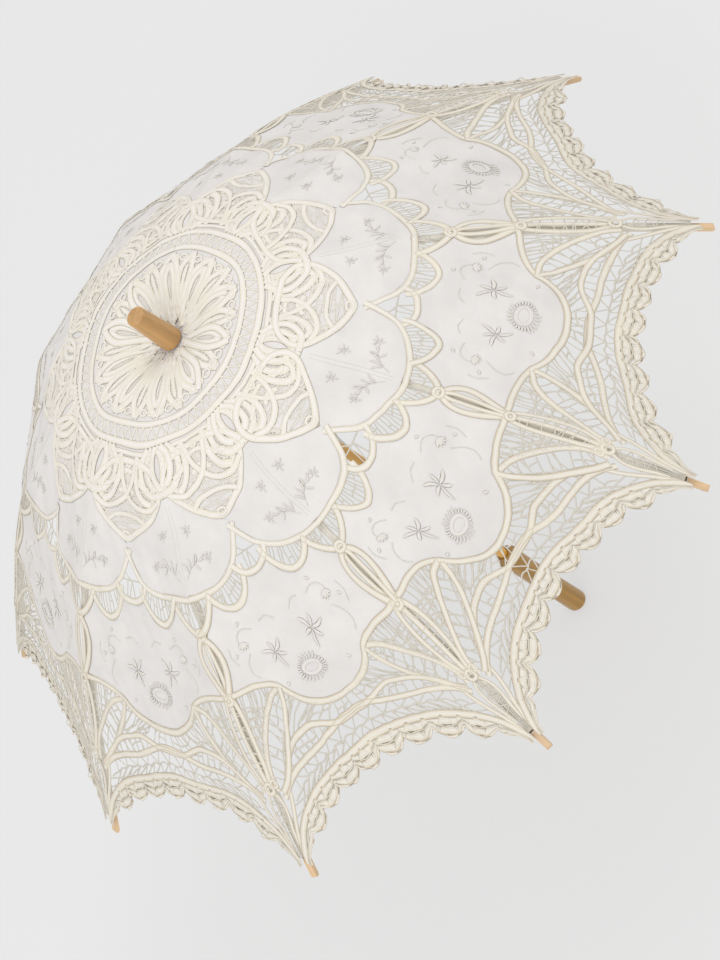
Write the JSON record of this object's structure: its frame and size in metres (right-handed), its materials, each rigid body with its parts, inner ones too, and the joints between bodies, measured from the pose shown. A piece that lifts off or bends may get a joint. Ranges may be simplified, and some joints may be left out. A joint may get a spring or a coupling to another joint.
{
  "type": "lace parasol",
  "caption": "Open lace parasol: domed, scallop-edged canopy on hinged wooden ribs with stretchers, sliding runner, straight turned handle and tapered ferrule.",
  "frame": {"origin": "centre of the flat end of the handle, on the shaft's axis", "axes": "+Z along the shaft, from the handle to the ferrule; +X under rib 1"},
  "size_m": [0.8012, 0.7638, 0.674],
  "materials": {
    "shaft_wood": "varnished straight-grained wood, satin",
    "handle_wood": "varnished turned wood, satin",
    "ferrule_wood": "pale varnished turned wood, satin",
    "frame_wood": "pale plain wood, matt",
    "steel": "drawn steel wire and spring strip",
    "linen": "off-white woven linen",
    "lace": "off-white linen inside cream tape lace and twisted thread bars"
  },
  "bodies": {
    "root": {"shaft": "shaft_wood", "handle": "handle_wood", "handle_collar": "handle_wood", "ferrule": "ferrule_wood", "top_notch": "frame_wood", "notch_wire": "steel", "stop_ring": "steel", "canopy_cap": "linen"},
    "runner": {"runner": "frame_wood"},
    "catch": {"catch_spring": "steel"},
    "upper_01": {"rib_upper_01": "frame_wood", "canopy_inner_01": "lace"},
    "lower_01": {"rib_lower_01": "frame_wood", "canopy_outer_01": "lace"},
    "strut_01": {"stretcher_01": "frame_wood"},
    "upper_02": {"rib_upper_02": "frame_wood", "canopy_inner_02": "lace"},
    "lower_02": {"rib_lower_02": "frame_wood", "canopy_outer_02": "lace"},
    "strut_02": {"stretcher_02": "frame_wood"},
    "upper_03": {"rib_upper_03": "frame_wood", "canopy_inner_03": "lace"},
    "lower_03": {"rib_lower_03": "frame_wood", "canopy_outer_03": "lace"},
    "strut_03": {"stretcher_03": "frame_wood"},
    "upper_04": {"rib_upper_04": "frame_wood", "canopy_inner_04": "lace"},
    "lower_04": {"rib_lower_04": "frame_wood", "canopy_outer_04": "lace"},
    "strut_04": {"stretcher_04": "frame_wood"},
    "upper_05": {"rib_upper_05": "frame_wood", "canopy_inner_05": "lace"},
    "lower_05": {"rib_lower_05": "frame_wood", "canopy_outer_05": "lace"},
    "strut_05": {"stretcher_05": "frame_wood"},
    "upper_06": {"rib_upper_06": "frame_wood", "canopy_inner_06": "lace"},
    "lower_06": {"rib_lower_06": "frame_wood", "canopy_outer_06": "lace"},
    "strut_06": {"stretcher_06": "frame_wood"},
    "upper_07": {"rib_upper_07": "frame_wood", "canopy_inner_07": "lace"},
    "lower_07": {"rib_lower_07": "frame_wood", "canopy_outer_07": "lace"},
    "strut_07": {"stretcher_07": "frame_wood"},
    "upper_08": {"rib_upper_08": "frame_wood", "canopy_inner_08": "lace"},
    "lower_08": {"rib_lower_08": "frame_wood", "canopy_outer_08": "lace"},
    "strut_08": {"stretcher_08": "frame_wood"},
    "upper_09": {"rib_upper_09": "frame_wood", "canopy_inner_09": "lace"},
    "lower_09": {"rib_lower_09": "frame_wood", "canopy_outer_09": "lace"},
    "strut_09": {"stretcher_09": "frame_wood"},
    "upper_10": {"rib_upper_10": "frame_wood", "canopy_inner_10": "lace"},
    "lower_10": {"rib_lower_10": "frame_wood", "canopy_outer_10": "lace"},
    "strut_10": {"stretcher_10": "frame_wood"}
  },
  "joints": [
    {"name": "runner_slide", "type": "slide", "parent": "root", "child": "runner", "axis": [0, 0, -1], "range_m": [0, 0.18293]},
    {"name": "catch_press", "type": "hinge", "parent": "root", "child": "catch", "pos_m": [0.0039, 0, 0.3744], "axis": [0, -1, 0], "range_deg": [0, 6.5], "stiffness_Nm_per_rad": 0.05, "deforming": ["catch_spring"]},
    {"name": "rib_hinge_01", "type": "hinge", "parent": "root", "child": "upper_01", "pos_m": [0.01085, 0, 0.61854], "axis": [0, 1, 0], "range_deg": [-0.05, 76.73], "deforming": ["canopy_inner_01"]},
    {"name": "rib_flex_01", "type": "hinge", "parent": "upper_01", "child": "lower_01", "pos_m": [0.17835, 0, 0.59315], "axis": [0, 1, 0], "range_deg": [-34.71, 0.05], "deforming": ["canopy_outer_01"]},
    {"name": "strut_hinge_01", "type": "hinge", "parent": "upper_01", "child": "strut_01", "pos_m": [0.15754, 0, 0.59245], "axis": [0, 1, 0], "range_deg": [-119.28, 0.05]},
    {"name": "rib_hinge_02", "type": "hinge", "parent": "root", "child": "upper_02", "pos_m": [0.00878, 0.00638, 0.61854], "axis": [-0.5878, 0.809, 0], "range_deg": [-0.05, 76.73], "deforming": ["canopy_inner_02"]},
    {"name": "rib_flex_02", "type": "hinge", "parent": "upper_02", "child": "lower_02", "pos_m": [0.14429, 0.10483, 0.59315], "axis": [-0.5878, 0.809, 0], "range_deg": [-34.71, 0.05], "deforming": ["canopy_outer_02"]},
    {"name": "strut_hinge_02", "type": "hinge", "parent": "upper_02", "child": "strut_02", "pos_m": [0.12745, 0.0926, 0.59245], "axis": [-0.5878, 0.809, 0], "range_deg": [-119.28, 0.05]},
    {"name": "rib_hinge_03", "type": "hinge", "parent": "root", "child": "upper_03", "pos_m": [0.00335, 0.01032, 0.61854], "axis": [-0.9511, 0.309, 0], "range_deg": [-0.05, 76.73], "deforming": ["canopy_inner_03"]},
    {"name": "rib_flex_03", "type": "hinge", "parent": "upper_03", "child": "lower_03", "pos_m": [0.05511, 0.16962, 0.59315], "axis": [-0.9511, 0.309, 0], "range_deg": [-34.71, 0.05], "deforming": ["canopy_outer_03"]},
    {"name": "strut_hinge_03", "type": "hinge", "parent": "upper_03", "child": "strut_03", "pos_m": [0.04868, 0.14983, 0.59245], "axis": [-0.9511, 0.309, 0], "range_deg": [-119.28, 0.05]},
    {"name": "rib_hinge_04", "type": "hinge", "parent": "root", "child": "upper_04", "pos_m": [-0.00335, 0.01032, 0.61854], "axis": [-0.9511, -0.309, 0], "range_deg": [-0.05, 76.73], "deforming": ["canopy_inner_04"]},
    {"name": "rib_flex_04", "type": "hinge", "parent": "upper_04", "child": "lower_04", "pos_m": [-0.05511, 0.16962, 0.59315], "axis": [-0.9511, -0.309, 0], "range_deg": [-34.71, 0.05], "deforming": ["canopy_outer_04"]},
    {"name": "strut_hinge_04", "type": "hinge", "parent": "upper_04", "child": "strut_04", "pos_m": [-0.04868, 0.14983, 0.59245], "axis": [-0.9511, -0.309, 0], "range_deg": [-119.28, 0.05]},
    {"name": "rib_hinge_05", "type": "hinge", "parent": "root", "child": "upper_05", "pos_m": [-0.00878, 0.00638, 0.61854], "axis": [-0.5878, -0.809, 0], "range_deg": [-0.05, 76.73], "deforming": ["canopy_inner_05"]},
    {"name": "rib_flex_05", "type": "hinge", "parent": "upper_05", "child": "lower_05", "pos_m": [-0.14429, 0.10483, 0.59315], "axis": [-0.5878, -0.809, 0], "range_deg": [-34.71, 0.05], "deforming": ["canopy_outer_05"]},
    {"name": "strut_hinge_05", "type": "hinge", "parent": "upper_05", "child": "strut_05", "pos_m": [-0.12745, 0.0926, 0.59245], "axis": [-0.5878, -0.809, 0], "range_deg": [-119.28, 0.05]},
    {"name": "rib_hinge_06", "type": "hinge", "parent": "root", "child": "upper_06", "pos_m": [-0.01085, 0, 0.61854], "axis": [0, -1, 0], "range_deg": [-0.05, 76.73], "deforming": ["canopy_inner_06"]},
    {"name": "rib_flex_06", "type": "hinge", "parent": "upper_06", "child": "lower_06", "pos_m": [-0.17835, 0, 0.59315], "axis": [0, -1, 0], "range_deg": [-34.71, 0.05], "deforming": ["canopy_outer_06"]},
    {"name": "strut_hinge_06", "type": "hinge", "parent": "upper_06", "child": "strut_06", "pos_m": [-0.15754, 0, 0.59245], "axis": [0, -1, 0], "range_deg": [-119.28, 0.05]},
    {"name": "rib_hinge_07", "type": "hinge", "parent": "root", "child": "upper_07", "pos_m": [-0.00878, -0.00638, 0.61854], "axis": [0.5878, -0.809, 0], "range_deg": [-0.05, 76.73], "deforming": ["canopy_inner_07"]},
    {"name": "rib_flex_07", "type": "hinge", "parent": "upper_07", "child": "lower_07", "pos_m": [-0.14429, -0.10483, 0.59315], "axis": [0.5878, -0.809, 0], "range_deg": [-34.71, 0.05], "deforming": ["canopy_outer_07"]},
    {"name": "strut_hinge_07", "type": "hinge", "parent": "upper_07", "child": "strut_07", "pos_m": [-0.12745, -0.0926, 0.59245], "axis": [0.5878, -0.809, 0], "range_deg": [-119.28, 0.05]},
    {"name": "rib_hinge_08", "type": "hinge", "parent": "root", "child": "upper_08", "pos_m": [-0.00335, -0.01032, 0.61854], "axis": [0.9511, -0.309, 0], "range_deg": [-0.05, 76.73], "deforming": ["canopy_inner_08"]},
    {"name": "rib_flex_08", "type": "hinge", "parent": "upper_08", "child": "lower_08", "pos_m": [-0.05511, -0.16962, 0.59315], "axis": [0.9511, -0.309, 0], "range_deg": [-34.71, 0.05], "deforming": ["canopy_outer_08"]},
    {"name": "strut_hinge_08", "type": "hinge", "parent": "upper_08", "child": "strut_08", "pos_m": [-0.04868, -0.14983, 0.59245], "axis": [0.9511, -0.309, 0], "range_deg": [-119.28, 0.05]},
    {"name": "rib_hinge_09", "type": "hinge", "parent": "root", "child": "upper_09", "pos_m": [0.00335, -0.01032, 0.61854], "axis": [0.9511, 0.309, 0], "range_deg": [-0.05, 76.73], "deforming": ["canopy_inner_09"]},
    {"name": "rib_flex_09", "type": "hinge", "parent": "upper_09", "child": "lower_09", "pos_m": [0.05511, -0.16962, 0.59315], "axis": [0.9511, 0.309, 0], "range_deg": [-34.71, 0.05], "deforming": ["canopy_outer_09"]},
    {"name": "strut_hinge_09", "type": "hinge", "parent": "upper_09", "child": "strut_09", "pos_m": [0.04868, -0.14983, 0.59245], "axis": [0.9511, 0.309, 0], "range_deg": [-119.28, 0.05]},
    {"name": "rib_hinge_10", "type": "hinge", "parent": "root", "child": "upper_10", "pos_m": [0.00878, -0.00638, 0.61854], "axis": [0.5878, 0.809, 0], "range_deg": [-0.05, 76.73], "deforming": ["canopy_inner_10"]},
    {"name": "rib_flex_10", "type": "hinge", "parent": "upper_10", "child": "lower_10", "pos_m": [0.14429, -0.10483, 0.59315], "axis": [0.5878, 0.809, 0], "range_deg": [-34.71, 0.05], "deforming": ["canopy_outer_10"]},
    {"name": "strut_hinge_10", "type": "hinge", "parent": "upper_10", "child": "strut_10", "pos_m": [0.12745, -0.0926, 0.59245], "axis": [0.5878, 0.809, 0], "range_deg": [-119.28, 0.05]}
  ],
  "couplings": [
    {"joint": "rib_hinge_01", "follows": "runner_slide", "rad_per_m": 7.3162},
    {"joint": "rib_flex_01", "follows": "runner_slide", "rad_per_m": -3.3072},
    {"joint": "strut_hinge_01", "follows": "runner_slide", "rad_per_m": -11.375},
    {"joint": "rib_hinge_02", "follows": "runner_slide", "rad_per_m": 7.3162},
    {"joint": "rib_flex_02", "follows": "runner_slide", "rad_per_m": -3.3072},
    {"joint": "strut_hinge_02", "follows": "runner_slide", "rad_per_m": -11.375},
    {"joint": "rib_hinge_03", "follows": "runner_slide", "rad_per_m": 7.3162},
    {"joint": "rib_flex_03", "follows": "runner_slide", "rad_per_m": -3.3072},
    {"joint": "strut_hinge_03", "follows": "runner_slide", "rad_per_m": -11.375},
    {"joint": "rib_hinge_04", "follows": "runner_slide", "rad_per_m": 7.3162},
    {"joint": "rib_flex_04", "follows": "runner_slide", "rad_per_m": -3.3072},
    {"joint": "strut_hinge_04", "follows": "runner_slide", "rad_per_m": -11.375},
    {"joint": "rib_hinge_05", "follows": "runner_slide", "rad_per_m": 7.3162},
    {"joint": "rib_flex_05", "follows": "runner_slide", "rad_per_m": -3.3072},
    {"joint": "strut_hinge_05", "follows": "runner_slide", "rad_per_m": -11.375},
    {"joint": "rib_hinge_06", "follows": "runner_slide", "rad_per_m": 7.3162},
    {"joint": "rib_flex_06", "follows": "runner_slide", "rad_per_m": -3.3072},
    {"joint": "strut_hinge_06", "follows": "runner_slide", "rad_per_m": -11.375},
    {"joint": "rib_hinge_07", "follows": "runner_slide", "rad_per_m": 7.3162},
    {"joint": "rib_flex_07", "follows": "runner_slide", "rad_per_m": -3.3072},
    {"joint": "strut_hinge_07", "follows": "runner_slide", "rad_per_m": -11.375},
    {"joint": "rib_hinge_08", "follows": "runner_slide", "rad_per_m": 7.3162},
    {"joint": "rib_flex_08", "follows": "runner_slide", "rad_per_m": -3.3072},
    {"joint": "strut_hinge_08", "follows": "runner_slide", "rad_per_m": -11.375},
    {"joint": "rib_hinge_09", "follows": "runner_slide", "rad_per_m": 7.3162},
    {"joint": "rib_flex_09", "follows": "runner_slide", "rad_per_m": -3.3072},
    {"joint": "strut_hinge_09", "follows": "runner_slide", "rad_per_m": -11.375},
    {"joint": "rib_hinge_10", "follows": "runner_slide", "rad_per_m": 7.3162},
    {"joint": "rib_flex_10", "follows": "runner_slide", "rad_per_m": -3.3072},
    {"joint": "strut_hinge_10", "follows": "runner_slide", "rad_per_m": -11.375}
  ]
}
